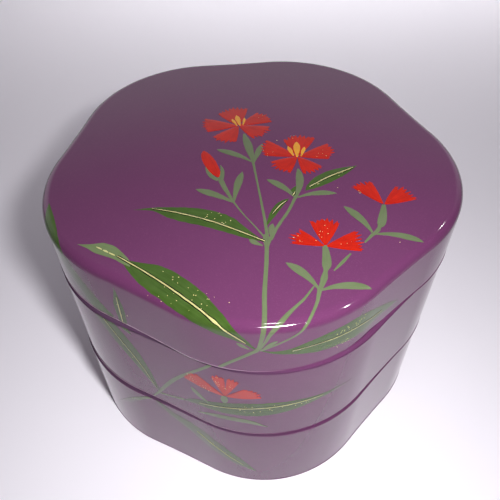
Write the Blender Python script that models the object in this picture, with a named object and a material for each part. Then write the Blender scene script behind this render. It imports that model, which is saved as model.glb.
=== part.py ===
# Two-tier lacquer box with a lift-off lid, five-sided in plan with round corners.
# Units are metres and +Z is up. The stack stands on the plane Z = 0, with the
# middle of its bounding box over the origin and a corner of the tiers towards -Y.

import math

import bmesh
import bpy

MM = 0.001

# Plan outline, shared by the lid and both tiers
CORNER_COUNT = 5
CORNER_REACH = 64.0 * MM      # middle of the box to the tip of a corner
CORNER_RADIUS = 42.2 * MM     # round of a corner, seen from above
SIDE_DIP = 0.17 * MM          # how far the middle of a side is drawn in from straight

# Heights
TIER_HEIGHT = 36.9 * MM       # outer wall of one tier, from its foot to its shoulder
LID_HEIGHT = 19.7 * MM        # outer wall of the lid, with its top
SEAM_GAP = 0.3 * MM           # between two pieces that rest on each other

# Walls and floors
SKIRT_WALL = 2.0 * MM         # outer wall where it reaches down around the lip below
LIP_WALL = 1.3 * MM
LIP_HEIGHT = 4.5 * MM         # lip above the shoulder of its tier
LIP_HEADROOM = 0.6 * MM       # free height between a lip and the floor over it
FLOOR_THICKNESS = 2.8 * MM
TOP_THICKNESS = 2.6 * MM      # top of the lid

# Fit of a lip in the skirt over it, and the part of that play which the pieces have used up
LIP_PLAY = 1.3 * MM
LID_TURN_USED = -0.60         # lid, turned clockwise on the upper tier
LOWER_TURN_USED = 0.20        # lower tier, turned anticlockwise under the upper tier
LID_SHIFT_USED = (0.0, 0.15)
LOWER_SHIFT_USED = (-0.28, -0.28)

# Rounded edges
RIM_ROUND = 3.0 * MM          # around the top of the lid
SHOULDER_ROUND = 1.05 * MM    # upper outer edge of a tier, under the piece that rests on it
FOOT_ROUND = 0.25 * MM        # lower outer edge of the lid and the tiers
LIP_ROUND = 0.35 * MM
INNER_FILLET = 3.5 * MM       # inside, between wall and floor

# Number of straight steps in the rounded stretches
CORNER_STEPS = 12
SIDE_STEPS = 2
RIM_STEPS = 6
SHOULDER_STEPS = 3
FOOT_STEPS = 2
FILLET_STEPS = 3

# Derived sizes
CORNER_PITCH = 2 * math.pi / CORNER_COUNT
CORNER_CENTRE = CORNER_REACH - CORNER_RADIUS
LIP_INSET = SKIRT_WALL + LIP_PLAY
BOWL_INSET = LIP_INSET + LIP_WALL
RECESS_DEPTH = LIP_HEIGHT + LIP_HEADROOM
FLOOR_LEVEL = RECESS_DEPTH + FLOOR_THICKNESS
LIP_TOP = TIER_HEIGHT + LIP_HEIGHT
LID_CEILING = LID_HEIGHT - TOP_THICKNESS

# Levels of the three pieces in the stack
UPPER_TIER_LEVEL = TIER_HEIGHT + SEAM_GAP
LID_LEVEL = UPPER_TIER_LEVEL + TIER_HEIGHT + SEAM_GAP

# Lacquer, as linear colour
LACQUER_COLOUR = (0.117, 0.014, 0.107, 1.0)
LACQUER_ROUGHNESS = 0.08
LACQUER_COAT = 1.0


def side_arc():
    """Distance of a side arc's centre from the middle, its radius, and the half angle
    of a corner arc that runs into it without a kink."""
    half_pitch = CORNER_PITCH / 2
    straight_reach = CORNER_CENTRE * math.cos(half_pitch)
    distance = (CORNER_CENTRE ** 2 - (straight_reach - SIDE_DIP) ** 2) / (2 * SIDE_DIP)
    radius = distance - (straight_reach + CORNER_RADIUS - SIDE_DIP)
    half_angle = math.atan2(
        distance * math.sin(half_pitch),
        distance * math.cos(half_pitch) - CORNER_CENTRE,
    )
    return distance, radius, half_angle


def plan_outline(inset):
    """Closed outline seen from above, anticlockwise, moved in by inset from the wall."""
    distance, radius, half_angle = side_arc()
    points = []
    for corner in range(CORNER_COUNT):
        facing = corner * CORNER_PITCH - math.pi / 2
        for step in range(CORNER_STEPS):
            normal = facing + half_angle * (2 * step / CORNER_STEPS - 1)
            points.append((
                CORNER_CENTRE * math.cos(facing) + (CORNER_RADIUS - inset) * math.cos(normal),
                CORNER_CENTRE * math.sin(facing) + (CORNER_RADIUS - inset) * math.sin(normal),
            ))
        side_facing = facing + CORNER_PITCH / 2
        side_half = half_angle - CORNER_PITCH / 2
        for step in range(SIDE_STEPS):
            normal = side_facing + side_half * (1 - 2 * step / SIDE_STEPS)
            points.append((
                distance * math.cos(side_facing) - (radius + inset) * math.cos(normal),
                distance * math.sin(side_facing) - (radius + inset) * math.sin(normal),
            ))
    return points


def rounding(inset, height, radius, start, end, steps):
    """Arc of a wall's section around the point at inset and height.

    Angles are in degrees: 0 points out of the wall, 90 up and 180 towards the middle.
    """
    arc = []
    for step in range(steps + 1):
        angle = math.radians(start + (end - start) * step / steps)
        arc.append((inset - radius * math.cos(angle), height + radius * math.sin(angle)))
    return arc


def tier_section():
    """Section of a tier's wall, from the underside of its floor, out and over its lip,
    down to the top of its floor. Each entry is an inset and a height."""
    section = [(SKIRT_WALL, RECESS_DEPTH), (SKIRT_WALL, 0.0)]
    section += rounding(FOOT_ROUND, FOOT_ROUND, FOOT_ROUND, -90, 0, FOOT_STEPS)
    section += rounding(
        SHOULDER_ROUND, TIER_HEIGHT - SHOULDER_ROUND, SHOULDER_ROUND, 0, 90, SHOULDER_STEPS
    )
    section.append((LIP_INSET, TIER_HEIGHT))
    section += rounding(LIP_INSET + LIP_ROUND, LIP_TOP - LIP_ROUND, LIP_ROUND, 0, 90, 1)
    section += rounding(BOWL_INSET - LIP_ROUND, LIP_TOP - LIP_ROUND, LIP_ROUND, 90, 180, 1)
    section += rounding(
        BOWL_INSET + INNER_FILLET, FLOOR_LEVEL + INNER_FILLET, INNER_FILLET, 0, -90, FILLET_STEPS
    )
    return section


def lid_section():
    """Section of the lid, from its ceiling, down and around its skirt, up to its top."""
    section = rounding(
        SKIRT_WALL + INNER_FILLET, LID_CEILING - INNER_FILLET, INNER_FILLET, 90, 0, FILLET_STEPS
    )
    section.append((SKIRT_WALL, 0.0))
    section += rounding(FOOT_ROUND, FOOT_ROUND, FOOT_ROUND, -90, 0, FOOT_STEPS)
    section += rounding(RIM_ROUND, LID_HEIGHT - RIM_ROUND, RIM_ROUND, 0, 90, RIM_STEPS)
    return section


def loft(name, section):
    """Closed mesh that carries a section once around the plan outline."""
    shape = bmesh.new()
    rings = []
    for inset, height in section:
        rings.append([shape.verts.new((x, y, height)) for x, y in plan_outline(inset)])
    for lower, upper in zip(rings, rings[1:]):
        for here in range(len(lower)):
            after = (here + 1) % len(lower)
            shape.faces.new((lower[here], lower[after], upper[after], upper[here]))
    shape.faces.new(reversed(rings[0]))
    shape.faces.new(rings[-1])
    mesh = bpy.data.meshes.new(name)
    shape.to_mesh(mesh)
    shape.free()
    mesh.shade_smooth()
    mesh.set_sharp_from_angle(angle=math.radians(30))
    return mesh


def lacquer(name):
    """Purple lacquer, polished, under a clear top layer."""
    material = bpy.data.materials.new(name)
    material.use_nodes = True
    surface = material.node_tree.nodes["Principled BSDF"]
    surface.inputs["Base Color"].default_value = LACQUER_COLOUR
    surface.inputs["Roughness"].default_value = LACQUER_ROUGHNESS
    surface.inputs["Metallic"].default_value = 0.0
    surface.inputs["Coat Weight"].default_value = LACQUER_COAT
    return material


def placing(turn_used, shift_used, level):
    """Turn and location of a piece that has used up part of the play in its fit."""
    full_turn = LIP_PLAY / (CORNER_CENTRE * math.sin(CORNER_PITCH / 2))
    shift = [LIP_PLAY * share for share in shift_used]
    return turn_used * full_turn, (shift[0], shift[1], level)


def plan_middle(placings):
    """Middle of the bounding box, seen from above, of the outlines at these placings."""
    spots = []
    for turn, (shift_x, shift_y, _level) in placings:
        for x, y in plan_outline(0.0):
            spots.append((
                x * math.cos(turn) - y * math.sin(turn) + shift_x,
                x * math.sin(turn) + y * math.cos(turn) + shift_y,
            ))
    across = [spot[0] for spot in spots]
    along = [spot[1] for spot in spots]
    return (min(across) + max(across)) / 2, (min(along) + max(along)) / 2


def add_piece(name, section, turn, location, middle):
    """Add one piece at its place in the stack."""
    piece = bpy.data.objects.new(name, loft(name, section))
    piece.data.materials.append(lacquer(name + "_lacquer"))
    piece.rotation_euler = (0.0, 0.0, turn)
    piece.location = (location[0] - middle[0], location[1] - middle[1], location[2])
    bpy.context.scene.collection.objects.link(piece)
    return piece


def build():
    for leftover in list(bpy.data.objects):
        bpy.data.objects.remove(leftover, do_unlink=True)
    stack = [
        ("lower_tier", tier_section(), placing(LOWER_TURN_USED, LOWER_SHIFT_USED, 0.0)),
        ("upper_tier", tier_section(), placing(0.0, (0.0, 0.0), UPPER_TIER_LEVEL)),
        ("lid", lid_section(), placing(LID_TURN_USED, LID_SHIFT_USED, LID_LEVEL)),
    ]
    middle = plan_middle([place for _name, _section, place in stack])
    for name, section, (turn, location) in stack:
        add_piece(name, section, turn, location, middle)


build()
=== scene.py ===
# Stacking lacquer box: two tiers and a lift-off lid, five-sided with round corners,
# in glossy purple lacquer painted with a spray of red pinks.
import math
import random

import bmesh
import bpy
from mathutils import Matrix, Vector, noise


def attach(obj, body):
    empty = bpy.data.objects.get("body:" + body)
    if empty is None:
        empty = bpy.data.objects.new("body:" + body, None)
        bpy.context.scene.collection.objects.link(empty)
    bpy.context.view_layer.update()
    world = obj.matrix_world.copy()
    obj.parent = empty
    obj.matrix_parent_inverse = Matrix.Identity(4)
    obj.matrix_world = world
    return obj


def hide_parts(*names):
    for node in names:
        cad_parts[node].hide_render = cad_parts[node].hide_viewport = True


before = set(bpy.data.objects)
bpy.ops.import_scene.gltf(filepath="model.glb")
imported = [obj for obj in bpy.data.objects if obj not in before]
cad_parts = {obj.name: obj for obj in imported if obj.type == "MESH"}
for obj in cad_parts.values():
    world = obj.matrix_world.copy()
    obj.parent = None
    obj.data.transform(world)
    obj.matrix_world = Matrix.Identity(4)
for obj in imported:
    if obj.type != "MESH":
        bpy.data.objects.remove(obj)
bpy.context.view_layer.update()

mm = 0.001
scene = bpy.context.scene


# Colours are sRGB hex, turned to Blender's linear values here
def linear(hexColour):
    parts = [int(hexColour[i:i + 2], 16) / 255 for i in (1, 3, 5)]
    return tuple(p / 12.92 if p < 0.04045 else ((p + 0.055) / 1.055) ** 2.4 for p in parts) + (1.0,)


# Adds one node with its settings, and links its inputs from other nodes' outputs
def addNode(tree, kind, settings=None, values=None, links=None):
    node = tree.nodes.new(kind)
    for key, value in (settings or {}).items():
        setattr(node, key, value)
    for key, value in (values or {}).items():
        node.inputs[key].default_value = value
    for key, source in (links or {}).items():
        tree.links.new(source, node.inputs[key])
    return node


# Camera, at the angle of the photo
cameraView = {
    "place": (-21.556, -131.607, 198.730),   # mm
    "heading": -8.892,                       # degrees, turned right from +Y
    "down": 47.413,
    "roll": -0.768,
    "lens": 39.26,                           # mm, on a sensor 36 mm wide
    "sensor": 36.0,
    "nearest": 10,                           # mm
}


def addCamera():
    lens = bpy.data.cameras.new("camera")
    lens.lens = cameraView["lens"]
    lens.sensor_width = cameraView["sensor"]
    lens.clip_start = cameraView["nearest"] * mm
    eye = bpy.data.objects.new("camera", lens)
    turn = (Matrix.Rotation(math.radians(cameraView["heading"]), 4, "Z")
            @ Matrix.Rotation(math.radians(90 - cameraView["down"]), 4, "X")
            @ Matrix.Rotation(math.radians(cameraView["roll"]), 4, "Z"))
    eye.matrix_world = Matrix.Translation(Vector(cameraView["place"]) * mm) @ turn
    scene.collection.objects.link(eye)
    scene.camera = eye


addCamera()
print("camera made")

# The plan of the box, in mm: corner arcs joined by sides that dip in a little
plan = {
    "corners": 5,
    "cornerReach": 64.0,     # middle to the tip of a corner
    "cornerRadius": 42.2,
    "sideDip": 0.17,
    "cornerSteps": 48,       # fine steps, so that highlights run round without a break
    "sideSteps": 12,
}
plan["pitch"] = 2 * math.pi / plan["corners"]
plan["cornerCentre"] = plan["cornerReach"] - plan["cornerRadius"]
straightReach = plan["cornerCentre"] * math.cos(plan["pitch"] / 2)
plan["sideCentre"] = ((plan["cornerCentre"] ** 2 - (straightReach - plan["sideDip"]) ** 2)
                      / (2 * plan["sideDip"]))
plan["sideRadius"] = plan["sideCentre"] - (straightReach + plan["cornerRadius"] - plan["sideDip"])
plan["halfAngle"] = math.atan2(
    plan["sideCentre"] * math.sin(plan["pitch"] / 2),
    plan["sideCentre"] * math.cos(plan["pitch"] / 2) - plan["cornerCentre"])
plan["sideHalf"] = plan["halfAngle"] - plan["pitch"] / 2
plan["cornerRun"] = plan["cornerRadius"] * plan["halfAngle"]     # half a corner, along the wall
plan["sideRun"] = plan["sideRadius"] * plan["sideHalf"]
plan["run"] = 2 * (plan["cornerRun"] + plan["sideRun"])          # one corner and one side


# Point of the outline in mm: along is the way round from the front corner, positive to the
# right, and inset is how far in from the wall
def wallPoint(along, inset):
    corner = round(along / plan["run"])
    rest = along - corner * plan["run"]
    facing = corner * plan["pitch"] - math.pi / 2
    if abs(rest) <= plan["cornerRun"]:
        normal = facing + rest / plan["cornerRadius"]
        reach = plan["cornerRadius"] - inset
        middle = plan["cornerCentre"]
        return (middle * math.cos(facing) + reach * math.cos(normal),
                middle * math.sin(facing) + reach * math.sin(normal))
    side = math.copysign(1, rest)
    facing += side * plan["pitch"] / 2
    normal = facing + side * (plan["sideHalf"] - (abs(rest) - plan["cornerRun"]) / plan["sideRadius"])
    reach = plan["sideRadius"] + inset
    middle = plan["sideCentre"]
    return (middle * math.cos(facing) - reach * math.cos(normal),
            middle * math.sin(facing) - reach * math.sin(normal))


# How far a point of the plan lies in from the wall, and the angle in which the wall faces there
def wallInset(x, y):
    corner = round((math.atan2(y, x) + math.pi / 2) / plan["pitch"])
    facing = corner * plan["pitch"] - math.pi / 2
    away = (x - plan["cornerCentre"] * math.cos(facing), y - plan["cornerCentre"] * math.sin(facing))
    normal = math.remainder(math.atan2(away[1], away[0]) - facing, 2 * math.pi)
    if abs(normal) <= plan["halfAngle"]:
        return plan["cornerRadius"] - math.hypot(*away), facing + normal
    facing += math.copysign(plan["pitch"] / 2, math.remainder(math.atan2(y, x) - facing, 2 * math.pi))
    back = (plan["sideCentre"] * math.cos(facing) - x, plan["sideCentre"] * math.sin(facing) - y)
    return math.hypot(*back) - plan["sideRadius"], math.atan2(back[1], back[0])


# The body of lacquer lies this far inside the CAD's surface, so that the paint on it stays inside
skin = 0.15

# How near, in mm, a point has to be to a level or an inset to count as on it
near = {"level": 0.01, "inset": 0.08}

# Angle in degrees from which an edge stays sharp
sharpFrom = {"body": 50, "paint": 40}

# Number of straight steps in the rounded stretches
roundSteps = {"rim": 14, "shoulder": 7, "fillet": 8, "lip": 4, "edge": 3}

# Where each piece stands in the stack: mm and degrees
places = {
    "lid": {"at": (0.1746, 1.9862, 74.4), "turn": -3.4877},
    "upper_tier": {"at": (0.1746, 1.7912, 37.2), "turn": 0.0},
    "lower_tier": {"at": (-0.1894, 1.4272, 0.0), "turn": 1.1626},
}


# Whether a point in m is at a level, or at an inset, in mm
def isAtLevel(point, level):
    return abs(point.z / mm - level) < near["level"]


def isAtInset(point, inset):
    return abs(wallInset(point.x / mm, point.y / mm)[0] - inset) < near["inset"]


def deselectAll():
    if bpy.context.object and bpy.context.object.mode != "OBJECT":
        bpy.ops.object.mode_set(mode="OBJECT")
    bpy.ops.object.select_all(action="DESELECT")


# Starts a body as a cylinder whose wall is moved out to the box's plan
def addBlank(name, bottom, top):
    deselectAll()
    steps = plan["corners"] * (plan["cornerSteps"] + plan["sideSteps"])
    bpy.ops.mesh.primitive_cylinder_add(vertices=steps, radius=plan["cornerReach"] * mm,
                                        depth=(top - bottom) * mm, end_fill_type="NGON",
                                        location=(0, 0, (top + bottom) / 2 * mm))
    piece = bpy.context.object
    piece.name = piece.data.name = name
    bpy.ops.object.transform_apply(location=True, rotation=True, scale=True)
    stops = []
    for corner in range(plan["corners"]):
        start = corner * plan["run"] - plan["cornerRun"]
        for step in range(plan["cornerSteps"]):
            stops.append(start + 2 * plan["cornerRun"] * step / plan["cornerSteps"])
        for step in range(plan["sideSteps"]):
            stops.append(start + 2 * plan["cornerRun"] + 2 * plan["sideRun"] * step / plan["sideSteps"])
    spots = [wallPoint(stop, skin) for stop in stops]
    spots.sort(key=lambda spot: math.atan2(spot[1], spot[0]))
    # a ring of the cylinder starts elsewhere than the stops, so both are sorted by their angle
    for level in (bottom, top):
        ring = [v for v in piece.data.vertices if isAtLevel(v.co, level)]
        ring.sort(key=lambda v: math.atan2(v.co.y, v.co.x))
        for vertex, spot in zip(ring, spots):
            vertex.co.x = spot[0] * mm
            vertex.co.y = spot[1] * mm
    return piece


# Selects the faces or edges that pass a test, and nothing else
def selectWhere(piece, kind, test):
    bpy.ops.mesh.select_mode(type=kind)
    bpy.ops.mesh.select_all(action="DESELECT")
    shape = bmesh.from_edit_mesh(piece.data)
    for part in shape.faces if kind == "FACE" else shape.edges:
        part.select_set(test(part))
    bmesh.update_edit_mesh(piece.data)


# Draws in the flat face at a level that looks up (1) or down (-1), and moves it by a height. The
# quads of a ring aren't it.
def stepFace(piece, level, looks, thickness, height):
    selectWhere(piece, "FACE", lambda face: face.normal.z * looks > 0.99 and len(face.verts) > 4
                and isAtLevel(face.calc_center_median(), level))
    bpy.ops.mesh.inset(thickness=thickness * mm)
    bpy.ops.mesh.extrude_region_move(TRANSFORM_OT_translate={"value": (0, 0, height * mm)})


# Rounds the ring of edges at a level and inset
def roundRing(piece, level, inset, radius, segments):
    selectWhere(piece, "EDGE", lambda edge: all(isAtLevel(v.co, level) and isAtInset(v.co, inset)
                                                for v in edge.verts))
    bpy.ops.mesh.bevel(offset_type="OFFSET", offset=radius * mm, segments=segments, profile=0.5,
                       affect="EDGES", clamp_overlap=False, loop_slide=False)


# A fine bead along the foot of a wall, where the lacquer gathered as it dried. Its faces take the
# body's second material, a paler purple painted on as highlight, and those of a tier's shoulder take the
# third, a darker purple painted on as shade.
bead = {
    "height": 0.36,          # mm, from its lower to its upper end
    "stand": 0.12,           # mm, stands out from the wall, inside the skin
    "steps": 8,
    "lean": 0.1,             # faces that lean less than this belong to the wall
    "margin": 0.05,          # mm, on the insets between which a face is marked
}


def raiseBead(piece, start, shoulder=math.inf):
    stands = {}
    for step in range(bead["steps"] + 1):
        share = step / bead["steps"]
        level = start + bead["height"] * share
        selectWhere(piece, "FACE", lambda face: abs(face.normal.z) < bead["lean"]
                    and isAtInset(face.calc_center_median(), skin))
        bpy.ops.mesh.bisect(plane_co=(0, 0, level * mm), plane_no=(0, 0, 1), threshold=1e-7)
        stands[level] = bead["stand"] * (1 - (2 * share - 1) ** 4)
    shape = bmesh.from_edit_mesh(piece.data)
    for vertex in shape.verts:
        normal = wallInset(vertex.co.x / mm, vertex.co.y / mm)[1]
        for level, stand in stands.items():
            if isAtLevel(vertex.co, level) and isAtInset(vertex.co, skin):
                vertex.co += Vector((math.cos(normal), math.sin(normal), 0)) * stand * mm
    for face in shape.faces:
        middle = face.calc_center_median() / mm
        inset = wallInset(middle.x, middle.y)[0]
        onBead = start < middle.z < start + bead["height"] and inset < skin + bead["margin"]
        onShoulder = middle.z > shoulder and inset < tier["lipInset"] - bead["margin"]
        face.material_index = 1 if onBead else 2 if onShoulder else 0
    bmesh.update_edit_mesh(piece.data)


# Ends the shaping: outward faces, smooth with true flats, and into its place in the stack
def finishBody(piece, place):
    bpy.ops.mesh.select_all(action="SELECT")
    bpy.ops.mesh.normals_make_consistent(inside=False)
    bpy.ops.object.mode_set(mode="OBJECT")
    bpy.ops.object.shade_smooth_by_angle(angle=math.radians(sharpFrom["body"]))
    weighted = piece.modifiers.new("flats", "WEIGHTED_NORMAL")
    weighted.keep_sharp = True
    weighted.weight = 100    # the largest faces decide
    bpy.ops.object.modifier_apply(modifier="flats")
    putInStack(piece, place)


def putInStack(piece, place):
    piece.location = Vector(places[place]["at"]) * mm
    piece.rotation_euler = (0, 0, math.radians(places[place]["turn"]))
    deselectAll()
    piece.select_set(True)
    bpy.context.view_layer.objects.active = piece
    bpy.ops.object.transform_apply(location=True, rotation=True, scale=True)


# The lid, in mm: a shallow cap with a full round rim, which slips over the upper tier's lip
lid = {
    "height": 19.7,
    "rim": 3.0,
    "ceiling": 17.1,
    "skirt": 2.0,
    "fillet": 3.5,
    "edge": 0.15,
    "skirtEdge": 0.3,
}


def buildLid():
    top = lid["height"] - skin
    piece = addBlank("lid_shell", 0.0, top)
    bpy.ops.object.mode_set(mode="EDIT")
    stepFace(piece, 0.0, -1, lid["skirt"] - skin, lid["ceiling"])
    roundRing(piece, top, skin, lid["rim"] - skin, roundSteps["rim"])
    roundRing(piece, lid["ceiling"], lid["skirt"], lid["fillet"], roundSteps["fillet"])
    roundRing(piece, 0.0, skin, lid["edge"], roundSteps["edge"])
    roundRing(piece, 0.0, lid["skirt"], lid["skirtEdge"], roundSteps["edge"])
    raiseBead(piece, lid["edge"])
    finishBody(piece, "lid")
    return piece


# A tier, in mm: its lip fits the skirt above it, and its foot is hollow for the lip below
tier = {
    "height": 36.9,
    "skirt": 2.0,
    "lipInset": 3.3,
    "lipWall": 1.3,
    "lipHeight": 4.5,
    "recess": 5.1,
    "floor": 7.9,
    "fillet": 3.5,
    "shoulder": 1.05,
    "foot": 0.15,
    "skirtEdge": 0.3,
    "recessFillet": 0.5,
    "lipRound": 0.35,
    "seamShadeFrom": {"upper_tier": 0.0, "lower_tier": 0.45},     # how far up its round a shoulder takes the painted seam shade
}


def buildTier(place):
    top = tier["height"]
    lipTop = top + tier["lipHeight"]
    bowl = tier["lipInset"] + tier["lipWall"]
    piece = addBlank(place + "_shell", 0.0, top)
    bpy.ops.object.mode_set(mode="EDIT")
    stepFace(piece, top, 1, tier["lipInset"] - skin, tier["lipHeight"])
    stepFace(piece, lipTop, 1, tier["lipWall"], tier["floor"] - lipTop)
    stepFace(piece, 0.0, -1, tier["skirt"] - skin, tier["recess"])
    roundRing(piece, top, skin, tier["shoulder"], roundSteps["shoulder"])
    roundRing(piece, 0.0, skin, tier["foot"], roundSteps["edge"])
    roundRing(piece, 0.0, tier["skirt"], tier["skirtEdge"], roundSteps["edge"])
    roundRing(piece, lipTop, tier["lipInset"], tier["lipRound"], roundSteps["lip"])
    roundRing(piece, lipTop, bowl, tier["lipRound"], roundSteps["lip"])
    roundRing(piece, tier["floor"], bowl, tier["fillet"], roundSteps["fillet"])
    roundRing(piece, tier["recess"], tier["skirt"], tier["recessFillet"], roundSteps["edge"])
    raiseBead(piece, tier["foot"], top - tier["shoulder"] + tier["seamShadeFrom"][place])
    finishBody(piece, place)
    return piece


# Where the picture lies. On the lid it is drawn on the flat top, which is carried on over the rim
# and down the wall. On a tier it is drawn by the way round from the front corner and the height.
def onLid(x, y, lift):
    inset, normal = wallInset(x, y)
    beyond = lid["rim"] - inset
    if beyond <= 0:
        return Vector((x, y, lid["height"] - skin + lift))
    out = Vector((math.cos(normal), math.sin(normal), 0))
    upright = Vector((0, 0, 1))
    point = Vector((x, y, lid["height"] - lid["rim"])) - out * beyond
    angle = beyond / lid["rim"]
    if angle < math.pi / 2:
        return point + (out * math.sin(angle) + upright * math.cos(angle)) * (lid["rim"] - skin + lift)
    down = beyond - lid["rim"] * math.pi / 2
    straight = lid["height"] - lid["rim"] - lid["edge"]
    angle = min(max(down - straight, 0) / lid["edge"], math.pi / 2)
    point += out * (lid["rim"] - skin - lid["edge"]) - upright * min(down, straight)
    return point + (out * math.cos(angle) - upright * math.sin(angle)) * (lid["edge"] + lift)


def onTier(along, up, lift):
    low = up < tier["foot"]
    bend = tier["foot"] if low else tier["shoulder"]
    level = bend if low else min(up, tier["height"] - bend)
    angle = max(min((up - level) / bend, math.pi / 2), -math.pi / 2)
    reach = bend + lift
    x, y = wallPoint(along, skin + bend - reach * math.cos(angle))
    return Vector((x, y, level + reach * math.sin(angle)))


# The paints, each laid a little higher than those it crosses: mm over the lacquer. Each has the name
# of its pieces, its two colours and, for the golds, how much metal powder it holds.
paints = {
    "green": {"lift": 0.015, "name": "green_leaves", "colour": "#3b5122", "second": "#2f4516"},
    "tip": {"lift": 0.03, "name": "turned_leaf", "colour": "#5f6c4c", "second": "#566540"},
    "sage": {"lift": 0.045, "name": "pale_stems", "colour": "#5b654b", "second": "#525f40"},
    "red": {"lift": 0.055, "name": "red_petals", "colour": "#ae1a05", "second": "#931105"},
    "yellow": {"lift": 0.08, "name": "yellow_lobes", "colour": "#cc8f22", "second": "#b97f2a"},
    "shade": {"lift": 0.06, "name": "vein_shades", "colour": "#141d0a", "second": "#0e1507"},
    "gold": {"lift": 0.09, "name": "gold_veins", "colour": "#b8b684", "second": "#c0b672", "metal": 0.3},
    "dust": {"lift": 0.045, "name": "gold_dust", "colour": "#d9d0a0", "second": "#c4b069", "metal": 0.3},
}

# How a mark is made, in mm
brush = {
    "step": 0.55,            # between the points of a mark
    "fewest": 6,             # steps that even a short or thin mark has
    "thinnest": 0.03,        # half the least width of a stroke
    "crown": 0.02,           # its middle stands this much over its edges
    "coat": 0.1,             # reaches this far down, into the lacquer
    "wobble": 0.06,          # unsteadiness of its width, as a share of it
    "veinWobble": 0.5,       # the same for a vein
    "wave": 2.6,             # length of that unsteadiness
    "sides": 5,              # keeps the left side's unsteadiness apart from the right one's
    "shade": 0.5,            # how much wider the dark line under a vein is
    "speck": (0.16, 0.36),   # least and greatest width of a speck of dust
    "grain": 0.06,           # half its height
    "overShoulder": 0.3,     # the paint ends this far up a tier's shoulder
    "overFoot": 0.1,         # and this far over the foot of a piece
}
marks = {}                   # those made so far, by place and paint


# Lays one mark: a grid, long side along the stroke, moved onto the surface of its piece. spot turns
# the way along (0 to 1) and across (-1 to 1) into the picture's own mm.
def addMark(place, paint, spot, columns, rows, length, width):
    deselectAll()
    bpy.ops.mesh.primitive_grid_add(x_subdivisions=columns, y_subdivisions=rows, size=2)
    mark = bpy.context.object
    surface = onLid if place == "lid" else onTier
    for vertex in mark.data.vertices:
        across = vertex.co.y
        lift = paints[paint]["lift"] + brush["crown"] * (1 - across ** 6)
        vertex.co = surface(*spot((vertex.co.x + 1) / 2, across), lift) * mm
    for corner in mark.data.uv_layers.active.data:
        corner.uv = (corner.uv[0] * length, corner.uv[1] * width)
    marks.setdefault((place, paint), []).append(mark)


# Value between stations, smoothly, at a share of the way from the first to the last
def between(stations, share):
    steps = [math.dist(here[:2], after[:2]) for here, after in zip(stations, stations[1:])]
    rest = share * sum(steps)
    index = 0
    while index < len(steps) - 1 and rest > steps[index]:
        rest -= steps[index]
        index += 1
    t = min(rest / steps[index], 1)
    last = len(stations) - 1
    four = [stations[min(max(index + n, 0), last)] for n in (-1, 0, 1, 2)]
    return [((2 * b) + (c - a) * t + (2 * a - 5 * b + 4 * c - d) * t * t
             + (3 * b - a - 3 * c + d) * t ** 3) / 2 for a, b, c, d in zip(*four)]


# A leaf or a stroke along its stations: x, y and width, or x, y and the widths left and right
def addStroke(place, paint, stations, wobble=None):
    stations = [tuple(s[:2]) + (s[2] / 2, s[2] / 2) if len(s) == 3 else tuple(s) for s in stations]
    length = sum(math.dist(here[:2], after[:2]) for here, after in zip(stations, stations[1:]))
    widest = max(left + right for x, y, left, right in stations)
    columns = max(brush["fewest"], round(length / brush["step"]))
    spine = [between(stations, step / columns) for step in range(columns + 1)]
    wobble = brush["wobble"] if wobble is None else wobble

    def spot(along, across):
        index = round(along * columns)
        x, y, left, right = spine[index]
        before, after = spine[max(index - 1, 0)], spine[min(index + 1, columns)]
        heading = math.atan2(after[1] - before[1], after[0] - before[0])
        width = max(left if across > 0 else right, brush["thinnest"])
        where = Vector((along * length / brush["wave"], math.copysign(brush["sides"], across), x + y))
        width *= 1 + wobble * noise.noise(where)
        return x - math.sin(heading) * width * across, y + math.cos(heading) * width * across

    rows = max(brush["fewest"], round(widest / brush["step"]))
    addMark(place, paint, spot, columns, rows, length, widest)


# A vein: a line of gold on a slightly wider dark one
def addVein(place, stations):
    wider = [(x, y, width + brush["shade"]) for x, y, width in stations]
    addStroke(place, "shade", wider, wobble=brush["veinWobble"])
    addStroke(place, "gold", stations, wobble=brush["veinWobble"])


# A leaflet or a lobe from its base to its tip: widest past the middle, with a bend to its left
leafletForm = ((0, 0.25), (0.25, 0.6), (0.5, 0.95), (0.7, 1.0), (0.88, 0.65), (1, 0.06))


def addLeaflet(place, paint, base, tip, width, bend=0.0):
    reachX, reachY = tip[0] - base[0], tip[1] - base[1]
    length = math.hypot(reachX, reachY)
    stations = []
    for share, fullness in leafletForm:
        aside = 4 * bend * share * (1 - share) / length
        stations.append((base[0] + reachX * share - reachY * aside,
                         base[1] + reachY * share + reachX * aside, width * fullness))
    addStroke(place, paint, stations)


# A petal: a fan from the flower's heart, with round sides and teeth along its outer edge
petalForm = {
    "start": 0.05,           # share of its length at which it begins
    "swell": 0.3,            # roundness of its sides
    "corner": 0.1,           # how far its outer corners fall back, as a share of its length
    "tooth": 1.45,           # mm, width of a tooth
    "peaks": (0.0, 0.45),    # how far the teeth fall short, as a share of their depth
    "valleys": (0.6, 1.2),   # the same between them
    "rings": 14,
    "stepsInTooth": 6,
}


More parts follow.
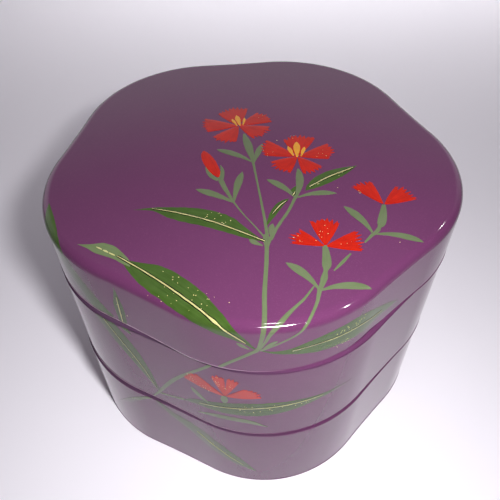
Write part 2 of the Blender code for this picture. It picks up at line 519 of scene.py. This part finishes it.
def addPetal(place, heart, petal, depth, hand):
    direction, length, spread, slant = petal
    teeth = round(length * math.radians(spread) / petalForm["tooth"])
    peaks = [hand.uniform(*petalForm["peaks"]) for tooth in range(teeth)]
    valleys = [hand.uniform(*petalForm["valleys"]) for tooth in range(teeth + 1)]

    def spot(along, across):
        where = (across + 1) / 2 * teeth
        tooth = min(int(where), teeth - 1)
        inTooth = where - tooth
        valley = valleys[tooth] if inTooth < 0.5 else valleys[tooth + 1]
        bite = peaks[tooth] + (valley - peaks[tooth]) * abs(2 * inTooth - 1)
        bite *= 1 - across ** 8
        reach = length * (1 - petalForm["corner"] * across ** 4 + slant / 2 * across) - depth * bite
        reach *= petalForm["start"] + (1 - petalForm["start"]) * along
        angle = math.radians(direction + across * spread / 2 * (1 + petalForm["swell"] * (1 - along)))
        return heart[0] + reach * math.cos(angle), heart[1] + reach * math.sin(angle)

    addMark(place, "red", spot, petalForm["rings"], teeth * petalForm["stepsInTooth"],
            length, length * math.radians(spread))


# A pink or a bud: toothed petals round its heart, yellow lobes, leaflets and its stems, the calyx
# among them
def addPink(place, pink, seed):
    hand = random.Random(seed)
    for petal in pink.get("petals", ()):
        addPetal(place, pink["heart"], petal, pink["depth"], hand)
    for base, tip, width in pink.get("lobes", ()):
        addLeaflet(place, "yellow", base, tip, width)
    for base, tip, width, bend in pink.get("leaflets", ()):
        addLeaflet(place, "sage", base, tip, width, bend)
    for stations in pink.get("stems", ()):
        addStroke(place, "sage", stations)


# A speck of gold: a small grain, half sunk in the lacquer and high enough to show through the paint
def addSpeck(place, paint, x, y, size):
    deselectAll()
    bpy.ops.mesh.primitive_ico_sphere_add(subdivisions=1, radius=1)
    speck = bpy.context.object
    surface = onLid if place == "lid" else onTier
    for vertex in speck.data.vertices:
        side = vertex.co * size / 2
        lift = paints[paint]["lift"] + vertex.co.z * brush["grain"]
        vertex.co = surface(x + side.x, y + side.y, lift) * mm
    marks.setdefault((place, paint), []).append(speck)


# Strews specks of gold on both sides of a line
def strewDust(place, lines, seed):
    hand = random.Random(seed)
    for start, end, spread, count in lines:
        heading = math.atan2(end[1] - start[1], end[0] - start[0])
        for speck in range(count):
            share = hand.random()
            aside = hand.uniform(-spread, spread)
            x = start[0] + (end[0] - start[0]) * share - math.sin(heading) * aside
            y = start[1] + (end[1] - start[1]) * share + math.cos(heading) * aside
            addSpeck(place, "dust", x, y, hand.uniform(*brush["speck"]))


# Joins the marks of one paint on one piece, gives them a thickness and cuts them off at the seams
def finishPaint(place, paint, material):
    deselectAll()
    made = marks[place, paint]
    for mark in made:
        mark.select_set(True)
    bpy.context.view_layer.objects.active = made[0]
    if len(made) > 1:
        bpy.ops.object.join()
    piece = bpy.context.object
    piece.name = piece.data.name = place + "_" + paints[paint]["name"]
    if paint != "dust":
        coat = piece.modifiers.new("coat", "SOLIDIFY")
        coat.thickness = brush["coat"] * mm
        coat.offset = -1
        bpy.ops.object.modifier_apply(modifier="coat")
    cuts = [(brush["overFoot"], False)]
    if place != "lid":
        cuts.insert(0, (tier["height"] - tier["shoulder"] + brush["overShoulder"], True))
    bpy.ops.object.mode_set(mode="EDIT")
    for level, upper in cuts:
        bpy.ops.mesh.select_all(action="SELECT")
        bpy.ops.mesh.bisect(plane_co=(0, 0, level * mm), plane_no=(0, 0, 1), use_fill=True,
                            clear_outer=upper, clear_inner=not upper, threshold=1e-7)
    bpy.ops.object.mode_set(mode="OBJECT")
    bpy.ops.object.shade_smooth_by_angle(angle=math.radians(sharpFrom["paint"]))
    piece.data.materials.clear()
    piece.data.materials.append(material)
    putInStack(piece, place)
    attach(piece, "root")


# The pinks on the lid, in mm on its picture. A petal is its direction in degrees, length, spread in
# degrees and how much longer its left side is, as a share. A lobe is base, tip and width, a leaflet
# has a bend too, and a stem is x, y and width, or x, y and the widths to the left and right.
lidPinks = {
    "left": {
        "heart": (-2.4, 17), "depth": 2.0,
        "petals": ((99, 11.3, 62, -0.06), (25, 11.8, 40, -0.12), (324, 10.4, 53, 0.18),
                   (235, 10.7, 49, -0.14), (173, 12.6, 39, -0.13)),
        "lobes": (((-2, 17), (-2.6, 23), 1.7), ((-2.9, 17), (-4.3, 21), 1.0), ((-1, 17.2), (0, 21.3), 0.9)),
        "leaflets": (((-0.2, -2.2), (-10.4, 5), 2.2, -0.7), ((0.5, -2.8), (4.2, 6.2), 1.9, 0.2)),
        "stems": (((-1.1, 12.4, 0.5), (-0.8, 9.4, 2.0), (-0.4, 6, 2.6), (0, 1.8, 2.0), (0.2, -0.8, 1.2),
                   (0.25, -2.6, 1.0)),
                  ((0.25, -2.4, 0.9), (0.4, -10, 0.6), (0.6, -20, 0.65), (0.7, -29, 0.8),
                   (0.6, -35.5, 1.0))),
    },
    "right": {
        "heart": (14.2, -1.4), "depth": 2.1,
        "petals": ((80, 11.6, 58, -0.13), (7, 12.1, 41, 0.18), (296, 9.5, 47, 0.05), (218, 9.7, 54, -0.03),
                   (151, 12.7, 39, -0.2)),
        "lobes": (((14, -1.6), (15.1, 6), 2.1), ((13, -0.9), (12, 4), 1.3), ((15.3, -1.4),
                                                                             (17.2, 3.2), 1.1)),
        "leaflets": (((10.3, -19.6), (3.4, -11.2), 2.2, -0.8), ((11.2, -20), (22.6, -19.6), 1.9, 1.0)),
        "stems": (((13.4, -7.3, 0.5), (13.3, -10, 2.0), (13, -13, 2.3), (12, -16.6, 1.6), (11.1, -18.8, 1.1),
                   (10.4, -20.3, 1.0)),
                  ((10.5, -19.9, 0.9), (7.7, -25.3, 0.85), (3.9, -31, 0.9), (1.2, -35.8, 1.2))),
    },
    "low": {
        "heart": (15.3, -39.7), "depth": 2.8,
        "petals": ((148, 10.3, 38, 0), (80, 11.2, 48, 0.03), (5, 11.1, 44, 0.07)),
        "leaflets": (((10.8, -53.4), (4.1, -44.2), 2.3, -0.8), ((11.4, -54), (23.9, -54.9), 2.2, 1.2)),
        "stems": (((15.2, -39.4, 1.1), (15, -42, 1.9), (14.6, -45, 2.4), (14.2, -46.6, 2.2),
                   (13.7, -48, 1.1), (13, -50, 1.7), (12.2, -51.8, 1.4), (11, -53.9, 1.1)),
                  ((11.1, -53.6, 1.2), (9.9, -57.1, 0.85), (8.4, -60, 0.75), (6.2, -63.7, 0.8),
                   (4.1, -66.6, 0.7), (-0.4, -69.6, 0.65), (-5.6, -71.9, 0.8))),
    },
    "far": {
        "heart": (34.8, -25.8), "depth": 2.5,
        "petals": ((113, 11.8, 35, 0.12), (30, 10.8, 46, -0.07)),
        "leaflets": (((28.8, -36.2), (23.4, -25.2), 2.3, -0.8), ((29.4, -36.8), (41.3, -41.2), 2.0, 1.1)),
        "stems": (((34.8, -25.8, 1.0), (34, -28.2, 1.8), (32.9, -31.2, 2.4), (32, -33.2, 2.2),
                   (31.2, -34.4, 1.0), (30.4, -35.6, 1.2), (28.9, -36.9, 0.9)),
                  ((28.9, -36.7, 1.0), (25.9, -39.5, 0.5)),
                  ((21.3, -43, 0.5), (18.6, -45.6, 0.9), (15.8, -48.2, 0.4)),
                  ((9.9, -52.6, 0.4), (6.8, -56.2, 0.7), (4.6, -58.1, 0.8), (2.3, -60.2, 1.1),
                   (0.3, -62.3, 1.3), (-1.3, -63.9, 1.25), (-2.6, -65.6, 1.1), (-3.8, -68.3, 0.85),
                   (-5.6, -71.2, 0.7))),
    },
    "bud": {
        "leaflets": (((-7.4, -19.9), (-17.7, -13.2), 2.3, -0.5), ((-7.1, -19.6), (-3.4, -6.8), 2.2, 0.3)),
        "stems": (((-14.3, -3.4, 0.2), (-13.7, -5.8, 1.1), (-12.7, -8, 1.4), (-11, -9.8, 1.1)),
                  ((-9.8, -2.8, 0.1), (-9.4, -5, 1.0), (-9.6, -7.5, 1.3), (-10.1, -9.8, 1.4)),
                  ((-10.5, -8.4, 1.1), (-10, -10.6, 1.6), (-9.3, -13.4, 1.4), (-8.3, -16.6, 1.0),
                   (-7.3, -20, 0.9)),
                  ((-7.4, -19.4, 0.7), (-5, -25, 0.4), (-2.2, -30.4, 0.4), (0.2, -35.5, 0.6))),
    },
}
lidBud = ((-14.5, 4.7, 0.5), (-14.3, 3.2, 2.3), (-13.4, 0.2, 3.6), (-12.3, -3.4, 3.6), (-11.3, -6.4, 2.6),
          (-10.7, -8.5, 0.5))

# The stem they grow from, which runs down the wall to the seam, where the upper tier's takes it up
lidStems = (
    ((0.3, -33.6, 1.1), (0.3, -36, 2.2), (0, -38.2, 1.2), (-1, -45, 1.1), (-2.4, -53, 1.15),
     (-3.4, -60.9, 1.2), (-4.2, -65, 1.25), (-5.2, -68.7, 1.15), (-6.3, -71.4, 1.3), (-8.4, -72.7, 1.2),
     (-12.4, -74.6, 1.1), (-17, -76.4, 1.15), (-23.5, -78.9, 1.25)),
)
lidLeaflets = (
    ((-1, -37.6), (-4.3, -34.9), 1.5, 0.2), ((1.6, -34.6), (2.7, -29.8), 1.6, 0.2),
    ((-8.7, -70.9), (-11.7, -67.9), 1.2, 0.1), ((-4.8, -71.4), (-0.5, -68.4), 1.2, 0.2),
)

# Long leaves, base to tip: x, y and the widths to the left and right of their vein
lidLeaves = {
    "high": ((0, -36.5, 0, 0), (-5, -32.8, 1.5, 1.6), (-10, -29.2, 2.3, 3.6), (-15, -26.2, 2.7, 3.8),
             (-20, -23.8, 3.0, 3.1), (-25, -21.5, 2.7, 1.5), (-30, -20, 0.9, 0.4), (-35.4, -20, 0, 0)),
    "broad": ((-6, -72, 0, 0), (-7.7, -70.2, 0.4, 0.4), (-9.3, -67.7, 0.9, 0.8), (-12.5, -63.2, 2.7, 1.7),
              (-15.5, -60, 3.4, 2.9), (-20, -55, 3.8, 4.2), (-25, -50, 3.7, 4.8), (-30, -45, 3.6, 4.1),
              (-35, -40.5, 1.9, 1.2), (-37.6, -38.6, 0.4, 0.3)),
    "behindLow": ((0.6, -31, 0, 0), (2.8, -26.8, 0.8, 0.8), (5, -23.6, 1.2, 0.9), (7.3, -21.2, 0.8, 0.5),
                  (8.7, -20.3, 0, 0)),
    "behindBit": ((9.5, -18.6, 0.1, 0.1), (10.3, -17.4, 0.9, 0.7), (11.2, -15.9, 0.7, 0.6),
                  (11.9, -14.8, 0.1, 0.1)),
    "behindHigh": ((13.9, -17.4, 0, 0), (15.6, -15.9, 1.2, 1.1), (19, -13.6, 2.2, 2.1),
                   (23, -11.4, 2.2, 2.2), (27, -9.7, 1.5, 1.5), (31.4, -7.8, 0, 0)),
    "rim": ((-6.8, -71, 0.2, 0.2), (-2.5, -73, 0.3, 0.5), (3, -73.2, 0.8, 1.5), (10, -72, 2.4, 3.3),
            (15, -70.7, 3.3, 4.0), (20, -69.3, 4.1, 4.0), (25, -67.3, 4.6, 4.3), (30, -65, 4.2, 4.0),
            (34.5, -62.7, 2.6, 2.6), (40, -60.6, 1.2, 1.2), (44, -59.5, 0, 0)),
    "corner": ((-55.4, -58, 2.8, 2.8), (-57.6, -51, 3.6, 3.6), (-58.5, -45, 3.7, 3.7),
               (-58.8, -38.5, 3.8, 3.9), (-58.7, -31.5, 3.7, 3.7), (-58.8, -26, 3.1, 3.0),
               (-59, -21, 1.9, 1.9), (-59.5, -14.2, 0, 0)),
    "small": ((-51.4, -60, 1.3, 1.3), (-50.1, -58.2, 1.4, 1.4), (-46.8, -53.6, 1.7, 1.6),
              (-44, -49.8, 0.8, 0.8), (-41.6, -46.6, 0, 0)),
}
lidTurnedTip = ((-35.5, -41.1, 0.2), (-36.4, -39.6, 1.8), (-38.6, -37.1, 2.9), (-40.7, -35.3, 3.9),
                (-43.2, -33.9, 4.0), (-44.6, -33.5, 3.3), (-47, -32.6, 1.3), (-49.6, -31.7, 0.1))
lidVeins = (
    ((-0.3, -36, 0.24), (-8, -30.7, 0.34), (-14.7, -26.5, 0.36), (-23.1, -22.5, 0.3), (-30.2, -20, 0.16)),
    ((-9.2, -68.2, 0.24), (-12, -64.4, 0.36), (-14.2, -61.5, 0.48), (-15.1, -60.3, 0.8), (-16.6, -58.6, 0.4),
     (-21.1, -53.6, 0.4), (-29.2, -45.5, 0.34), (-36.1, -39.4, 0.28), (-38.9, -37.1, 0.2)),
    ((3.1, -26, 0.12), (5.5, -23, 0.32), (7.8, -21, 0.16)),
    ((9.9, -19, 0.16), (10.4, -18.3, 0.36), (10.8, -17.6, 0.16)),
    ((15.4, -15.8, 0.28), (21.5, -12.2, 0.4), (27.3, -9.7, 0.32), (30, -8.5, 0.16)),
    ((4, -73.2, 0.1), (10, -72, 0.18), (20, -69.3, 0.22), (30, -65, 0.18), (36, -62, 0.08)),
    ((-51, -59.4, 0.12), (-50, -57.9, 0.24), (-46.9, -53.7, 0.28), (-43.9, -49.9, 0.12)),
)

# Gold with no dark line: touches on the turned tip, where the broad leaf's vein runs out, and the
# vein of the lower tier's leaf
goldTouches = {
    "lid": (
        ((-39.5, -36.8, 0.2), (-40.1, -36.4, 0.45), (-41.1, -35.7, 0.3)),
        ((-41.3, -35.6, 0.25), (-42, -35, 0.55), (-42.7, -34.6, 0.3)),
        ((-43, -34.3, 0.2), (-43.7, -33.8, 0.4), (-44.6, -33.2, 0.15)),
    ),
    "lower_tier": (
        ((-31, 27, 0.1), (-24, 21, 0.24), (-15, 12.6, 0.1)),
    ),
}

# Gold dust, strewn along a line: from, to, spread on each side and count
lidDust = (
    ((-8.5, -27.5), (-15, -24), 1.8, 14), ((-16, -55), (-26, -46.5), 2.4, 20),
    ((-20, -56), (-30, -50.5), 1.0, 5), ((16.5, -70.5), (27, -63.5), 1.3, 24),
    ((19, -74.2), (27, -70), 1.0, 14), ((17, -15.5), (27, -11.5), 1.6, 6),
    ((6.5, -35.5), (13, -38.5), 1.3, 8), ((15, -36.5), (18, -30), 1.8, 8), ((18, -39.5), (24, -39), 1.2, 3),
    ((26.5, -18.5), (30, -20), 1.2, 5), ((18, -1), (24, -0.5), 1.8, 6), ((9, 7), (15, 9), 1.2, 4),
    ((2.5, 2), (7, 1), 1.6, 4), ((4, 21), (8, 22), 1.4, 3), ((-49, -58), (-46, -52), 2.2, 6),
    ((-30, -62), (30, -10), 28, 6),
)

# The spray on the tiers, in mm: the way round from the front corner, and the height
tierPinks = {
    "upper_tier": {
        "heart": (-18.5, 21.4), "depth": 1.7,
        "petals": ((156, 13.1, 33, 0.15), (101, 11, 23, -0.08), (75, 11.3, 19, -0.02),
                   (28, 10.4, 37, -0.22)),
        "leaflets": (((-23.9, 14.2), (-29.4, 19.3), 2.1, 0.5),),
        "stems": (((-18.7, 21.4, 1.2), (-18.8, 19.8, 2.2), (-18.9, 18.1, 1.6), (-19, 17.3, 0.6)),
                  ((-28.4, 4.6, 0.3), (-23.8, 6.8, 1.6), (-19.4, 7.9, 2.2), (-14.5, 8.3, 2.3),
                   (-10.6, 7.6, 1.8), (-6.2, 5.2, 0.2)),
                  ((-21.6, 37, 0.9), (-22.5, 35.6, 0.9), (-25.8, 31.5, 0.95), (-29.8, 26.4, 1.0),
                   (-34.1, 20.4, 1.2), (-37.3, 15.2, 1.3), (-40.4, 9.4, 1.2), (-42.9, 4.6, 0.9),
                   (-45.8, -0.4, 0.6)),
                  ((-42.2, 4.8, 0.8), (-37.5, 6.4, 1.0), (-33, 8.4, 1.2))),
    },
    "lower_tier": {
        "stems": (((-46.6, 37.2, 1.1), (-49.3, 35.1, 1.3), (-54.1, 30.5, 1.8), (-58.8, 25.1, 1.6),
                   (-64.8, 17.9, 0.3)),),
    },
}
tierLeaves = {
    "upper_tier": (
        ((-34, 7.9, 0, 0), (-27.4, 11.5, 1.5, 1.7), (-21.2, 13.8, 2.3, 3.2), (-14.3, 15.8, 2.9, 4.2),
         (-9.8, 16.8, 2.9, 4.6), (-5.5, 17.7, 2.6, 4.5), (-1.1, 18.3, 2.0, 3.9), (3.3, 18.7, 1.5, 3.0),
         (8, 18.9, 1.0, 1.7), (14, 19, 0.5, 0.7), (20, 19, 0, 0)),
        ((-42, 4.4, 0, 0), (-44.2, 11, 1.2, 1.4), (-46.4, 17, 2.2, 2.4), (-49.4, 24, 3.0, 3.1),
         (-52.8, 30.4, 3.3, 3.3), (-57, 37.4, 3.4, 3.2)),
        ((-47.4, 33.8, 0, 0), (-48.6, 35.6, 1.0, 0.9), (-50, 37.6, 1.2, 1.2)),
    ),
    "lower_tier": (
        ((-46, 37.2, 0.3, 0.3), (-42, 33.2, 1.1, 1.3), (-38.2, 30.6, 1.9, 2.1), (-32.9, 28.2, 3.0, 3.1),
         (-29.3, 25.5, 3.5, 3.4), (-24, 21, 3.5, 3.3), (-18, 15.5, 2.7, 2.5), (-13, 10.5, 1.1, 1.0),
         (-10.5, 8, 0, 0)),
    ),
}
tierVeins = {
    "upper_tier": (
        ((-27.4, 11.5, 0.15), (-21.2, 13.8, 0.28), (-14.3, 15.8, 0.3), (-5.5, 17.7, 0.3), (3.3, 18.8, 0.28),
         (10, 19, 0.15)),
        ((-43.2, 7.4, 0.06), (-46, 16.1, 0.14), (-49.6, 24, 0.16), (-53, 30.4, 0.16), (-57, 37.4, 0.14)),
    ),
}
tierDust = {
    "upper_tier": (((-16, 15), (-4, 17.5), 1.8, 14), ((-4, 17.5), (8, 19.2), 1.2, 8),
                   ((-30.5, 25.4), (-22.5, 22.6), 1.2, 20), ((-21, 31), (-19, 25), 1.2, 16),
                   ((-16, 29), (-16, 25), 1.0, 5), ((-48, 20), (-55, 34), 2.2, 6)),
    "lower_tier": (((-34, 29), (-20, 18), 2.0, 5),),
}


# Lacquer, as on moulded boxes: purple with a little pearl in it, sprayed, flatted and topped with
# clear. The eye gets a deep colour with a faint cloudiness under one sharp, slightly wavy gloss.
lacquer = {
    "colour": "#5a2d50",
    "cloud": "#55294c",
    "pearl": "#623456",
    "roughness": 0.4,
    "coat": 1.0,
    "coatRoughness": 0.08,
    "coatIor": 1.5,
    "cloudSize": 14.0,       # mm
    "pearlSize": 0.35,       # mm, coarser than real flakes, so that it shows
    "pearlFrom": 0.55,       # height of the pattern from which a flake shows
    "pearlFull": 0.8,        # and from which it is at its strongest
    "pearlStrength": 0.7,
    "waveSize": 6.0,         # mm, of the orange peel in the clear coat
    "waveHeight": 0.003,     # mm
}

# Painted light on the lacquer, stronger towards the left: from and to are mm along X. The beads are
# painted pale and dull, a painted highlight for the bright floor that the foot of each wall reflects,
# and the tiers' shoulders are painted dark, a painted shade in the seams under the piece above.
paintedLightOnLacquer = {
    "beadHighlight": {"colour": "#8f7889", "from": 0.0, "to": -24.0, "least": 0.04, "coat": 0.005},
    "dark": {"colour": "#4a3349", "from": 6.0, "to": -18.0, "least": 0.3, "coat": 0.015},
}


# Starts a material that lies under the clear coat
def startGlossy(name, roughness, coat=lacquer["coat"], metal=0.0):
    material = bpy.data.materials.new(name)
    material.use_nodes = True
    shader = material.node_tree.nodes["Principled BSDF"]
    settings = {"Roughness": roughness, "Metallic": metal, "Specular IOR Level": 0.0,
                "Coat Weight": coat, "Coat Roughness": lacquer["coatRoughness"],
                "Coat IOR": lacquer["coatIor"]}
    for key, value in settings.items():
        shader.inputs[key].default_value = value
    return material, material.node_tree, shader


def lacquerMaterial(name, change=None):
    material, tree, shader = startGlossy(name, lacquer["roughness"], (change or lacquer)["coat"])
    place = addNode(tree, "ShaderNodeTexCoord").outputs["Object"]
    clouds = addNode(tree, "ShaderNodeTexNoise",
                     values={"Scale": 1 / (lacquer["cloudSize"] * mm), "Detail": 4.0, "Roughness": 0.6},
                     links={"Vector": place})
    base = addNode(tree, "ShaderNodeMix", {"data_type": "RGBA"},
                   {6: linear(lacquer["cloud"]), 7: linear(lacquer["colour"])},
                   {0: clouds.outputs["Fac"]})
    flakes = addNode(tree, "ShaderNodeTexNoise",
                     values={"Scale": 1 / (lacquer["pearlSize"] * mm), "Detail": 1.0},
                     links={"Vector": place})
    picked = addNode(tree, "ShaderNodeMapRange",
                     values={"From Min": lacquer["pearlFrom"], "From Max": lacquer["pearlFull"],
                             "To Min": 0.0, "To Max": lacquer["pearlStrength"]},
                     links={"Value": flakes.outputs["Fac"]})
    pearly = addNode(tree, "ShaderNodeMix", {"data_type": "RGBA"}, {7: linear(lacquer["pearl"])},
                     {0: picked.outputs["Result"], 6: base.outputs[2]})
    colour = pearly.outputs[2]
    # Mixes in the painted highlight or painted shade, stronger towards the left
    if change:
        across = addNode(tree, "ShaderNodeSeparateXYZ", links={"Vector": place}).outputs["X"]
        share = addNode(tree, "ShaderNodeMapRange",
                        values={"From Min": change["from"] * mm, "From Max": change["to"] * mm,
                                "To Min": change["least"], "To Max": 1.0},
                        links={"Value": across})
        colour = addNode(tree, "ShaderNodeMix", {"data_type": "RGBA"}, {7: linear(change["colour"])},
                         {0: share.outputs["Result"], 6: colour}).outputs[2]
    tree.links.new(colour, shader.inputs["Base Color"])
    waves = addNode(tree, "ShaderNodeTexNoise",
                    values={"Scale": 1 / (lacquer["waveSize"] * mm), "Detail": 1.0},
                    links={"Vector": place})
    bump = addNode(tree, "ShaderNodeBump",
                   values={"Strength": 1.0, "Distance": lacquer["waveHeight"] * mm},
                   links={"Height": waves.outputs["Fac"]})
    tree.links.new(bump.outputs["Normal"], shader.inputs["Normal"])
    tree.links.new(bump.outputs["Normal"], shader.inputs["Coat Normal"])
    return material


# Painted lacquer, brushed on: pigments for leaves and petals, and metal powder for veins and dust.
# The eye gets flat bright colour with faint streaks along each stroke, under the same gloss.
strokes = {
    "roughness": 0.45,
    "streakLength": 9.0,     # mm
    "streakWidth": 0.45,     # mm
    "ridge": 0.004,          # mm, height of the streaks
    "patch": 3.0,            # mm, of the thinner and thicker patches of paint
    "thin": 0.35,            # how much the patches count beside the streaks
    "from": 0.35,            # height of the pattern from which the second colour shows
    "full": 0.65,            # and from which it is alone
}


def paintMaterial(name, look):
    material, tree, shader = startGlossy(name, strokes["roughness"], metal=look.get("metal", 0.0))
    coordinates = addNode(tree, "ShaderNodeTexCoord")
    along = addNode(tree, "ShaderNodeMapping",
                    values={"Scale": (1 / strokes["streakLength"], 1 / strokes["streakWidth"], 1.0)},
                    links={"Vector": coordinates.outputs["UV"]})
    streaks = addNode(tree, "ShaderNodeTexNoise", values={"Scale": 1.0, "Detail": 3.0},
                      links={"Vector": along.outputs["Vector"]})
    patches = addNode(tree, "ShaderNodeTexNoise",
                      values={"Scale": 1 / (strokes["patch"] * mm), "Detail": 3.0},
                      links={"Vector": coordinates.outputs["Object"]})
    both = addNode(tree, "ShaderNodeMix", {"data_type": "FLOAT"}, {0: strokes["thin"]},
                   {2: streaks.outputs["Fac"], 3: patches.outputs["Fac"]})
    spread = addNode(tree, "ShaderNodeMapRange",
                     values={"From Min": strokes["from"], "From Max": strokes["full"]},
                     links={"Value": both.outputs[0]})
    colour = addNode(tree, "ShaderNodeMix", {"data_type": "RGBA"},
                     {6: linear(look["colour"]), 7: linear(look["second"])},
                     {0: spread.outputs["Result"]})
    tree.links.new(colour.outputs[2], shader.inputs["Base Color"])
    bump = addNode(tree, "ShaderNodeBump", values={"Strength": 1.0, "Distance": strokes["ridge"] * mm},
                   links={"Height": streaks.outputs["Fac"]})
    tree.links.new(bump.outputs["Normal"], shader.inputs["Normal"])
    return material


# Where the random draws start. The lid's pinks count on from 0.
seeds = {"tierPinks": 20, "lidDust": 5, "tierDust": 40}


# Paints the whole picture, mark by mark, then joins the marks paint by paint
def paintPicture():
    for seed, pink in enumerate(lidPinks.values()):
        addPink("lid", pink, seed)
    for stations in lidStems:
        addStroke("lid", "sage", stations)
    for base, tip, width, bend in lidLeaflets:
        addLeaflet("lid", "sage", base, tip, width, bend)
    addStroke("lid", "red", lidBud)
    addStroke("lid", "tip", lidTurnedTip)
    for stations in lidLeaves.values():
        addStroke("lid", "green", stations)
    for stations in lidVeins:
        addVein("lid", stations)
    strewDust("lid", lidDust, seeds["lidDust"])
    for number, (place, pink) in enumerate(tierPinks.items()):
        addPink(place, pink, number + seeds["tierPinks"])
        for stations in tierLeaves[place]:
            addStroke(place, "green", stations)
        for stations in tierVeins.get(place, ()):
            addVein(place, stations)
        strewDust(place, tierDust[place], number + seeds["tierDust"])
    for place, lines in goldTouches.items():
        for stations in lines:
            addStroke(place, "gold", stations)
    for place, paint in list(marks):
        finishPaint(place, paint, paintFinishes[paint])


# Floor, pale and plain
floor = {
    "size": 4000,            # mm
    "colour": "#f5f1f9",
    "roughness": 0.9,
}


def addFloor():
    deselectAll()
    bpy.ops.mesh.primitive_plane_add(size=floor["size"] * mm)
    ground = bpy.context.object
    ground.name = "floor"
    material = bpy.data.materials.new("floor_paper")
    material.use_nodes = True
    shader = material.node_tree.nodes["Principled BSDF"]
    shader.inputs["Base Color"].default_value = linear(floor["colour"])
    shader.inputs["Roughness"].default_value = floor["roughness"]
    ground.data.materials.append(material)


# Lights, in mm: the key is small and close, just right of the camera, and the fill lights the
# floor behind. These two leave no glint. The others light nothing and only glint on the lacquer.
lights = {
    "key": {"at": (6.6, -136, 214), "aim": (4, -50, 50), "size": (24, 9), "watts": 0.42, "spread": 150,
            "gloss": False},
    "fill": {"at": (210, 480, 420), "aim": (210, 400, 0), "size": (800, 120), "watts": 0.74, "spread": 80,
             "gloss": False},
    "rimLamp": {"at": (2, -176, 188), "aim": (-4, -61, 93), "size": (62, 12), "watts": 0.5,
                "diffuse": False},
    "tube": {"at": (10, -185, 473), "aim": (-4, -60, 94), "size": (50, 22), "watts": 0.25,
             "diffuse": False},
    "rightLamp": {"at": (409, 145, 465), "aim": (46, -37, 94), "size": (22, 22), "watts": 0.13,
                  "diffuse": False},
    "sideLamp": {"at": (352, -273, 469), "aim": (13, -58, 94), "size": (22, 22), "watts": 0.8,
                 "diffuse": False},
}


def addLight(name, at, aim, size, watts, spread=180, gloss=True, diffuse=True):
    lamp = bpy.data.lights.new(name, "AREA")
    lamp.shape = "ELLIPSE"
    lamp.size = size[0] * mm
    lamp.size_y = size[1] * mm
    lamp.energy = watts
    lamp.spread = math.radians(spread)
    light = bpy.data.objects.new(name, lamp)
    light.location = Vector(at) * mm
    light.rotation_euler = (Vector(aim) - Vector(at)).to_track_quat("-Z", "Y").to_euler()
    light.visible_glossy = gloss
    light.visible_diffuse = diffuse
    scene.collection.objects.link(light)


# The room around, by direction: a bright wall low behind the box, dim above and towards the front
room = {
    "colour": "#f4eef6",
    "front": 0.1,
    "above": 0.26,
    "wall": 1.0,
    "wallFull": 27,          # degrees up at which the wall is still at its brightest
    "wallEnd": 42,
    "backFrom": 0.15,        # share of the way to the back at which the wall begins
    "backFull": 0.75,        # and from which it is whole
}


def addRoom():
    world = bpy.data.worlds.new("studio")
    scene.world = world
    world.use_nodes = True
    tree = world.node_tree
    tree.nodes.clear()
    way = addNode(tree, "ShaderNodeTexCoord")
    split = addNode(tree, "ShaderNodeSeparateXYZ", links={"Vector": way.outputs["Generated"]})
    low = addNode(tree, "ShaderNodeMapRange", {"interpolation_type": "SMOOTHSTEP"},
                  {"From Min": math.sin(math.radians(room["wallFull"])),
                   "From Max": math.sin(math.radians(room["wallEnd"])),
                   "To Min": room["wall"], "To Max": room["above"]},
                  {"Value": split.outputs["Z"]})
    back = addNode(tree, "ShaderNodeMapRange", {"interpolation_type": "SMOOTHSTEP"},
                   {"From Min": room["backFrom"], "From Max": room["backFull"],
                    "To Min": 0.0, "To Max": 1.0},
                   {"Value": split.outputs["Y"]})
    level = addNode(tree, "ShaderNodeMix", {"data_type": "FLOAT"}, {"A": room["front"]},
                    {"Factor": back.outputs["Result"], "B": low.outputs["Result"]})
    sky = addNode(tree, "ShaderNodeBackground", values={"Color": linear(room["colour"])},
                  links={"Strength": level.outputs["Result"]})
    addNode(tree, "ShaderNodeOutputWorld", links={"Surface": sky.outputs["Background"]})


scene.view_settings.view_transform = "Standard"      # plain colours, with no film look
addFloor()
addRoom()
for name, settings in lights.items():
    addLight(name, **settings)
print("floor, room and lights made")

purple = lacquerMaterial("purple_lacquer")
# Paler purple for the beads: a painted highlight, standing in for the bright floor they reflect
beadHighlight = lacquerMaterial("bead_highlight_purple_lacquer", paintedLightOnLacquer["beadHighlight"])
# Darker purple for the tiers' shoulders: a painted shade in the seams
dark = lacquerMaterial("seam_shade_purple_lacquer", paintedLightOnLacquer["dark"])
shells = {"lid": buildLid(), "upper_tier": buildTier("upper_tier"),
          "lower_tier": buildTier("lower_tier")}
for node, shell in shells.items():
    for finish in (purple, beadHighlight) if node == "lid" else (purple, beadHighlight, dark):
        shell.data.materials.append(finish)
    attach(shell, "root")
    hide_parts(node)
print("lid and tiers made")

paintFinishes = {paint: paintMaterial(paint + "_paint", look) for paint, look in paints.items()}
paintPicture()
print("picture painted")
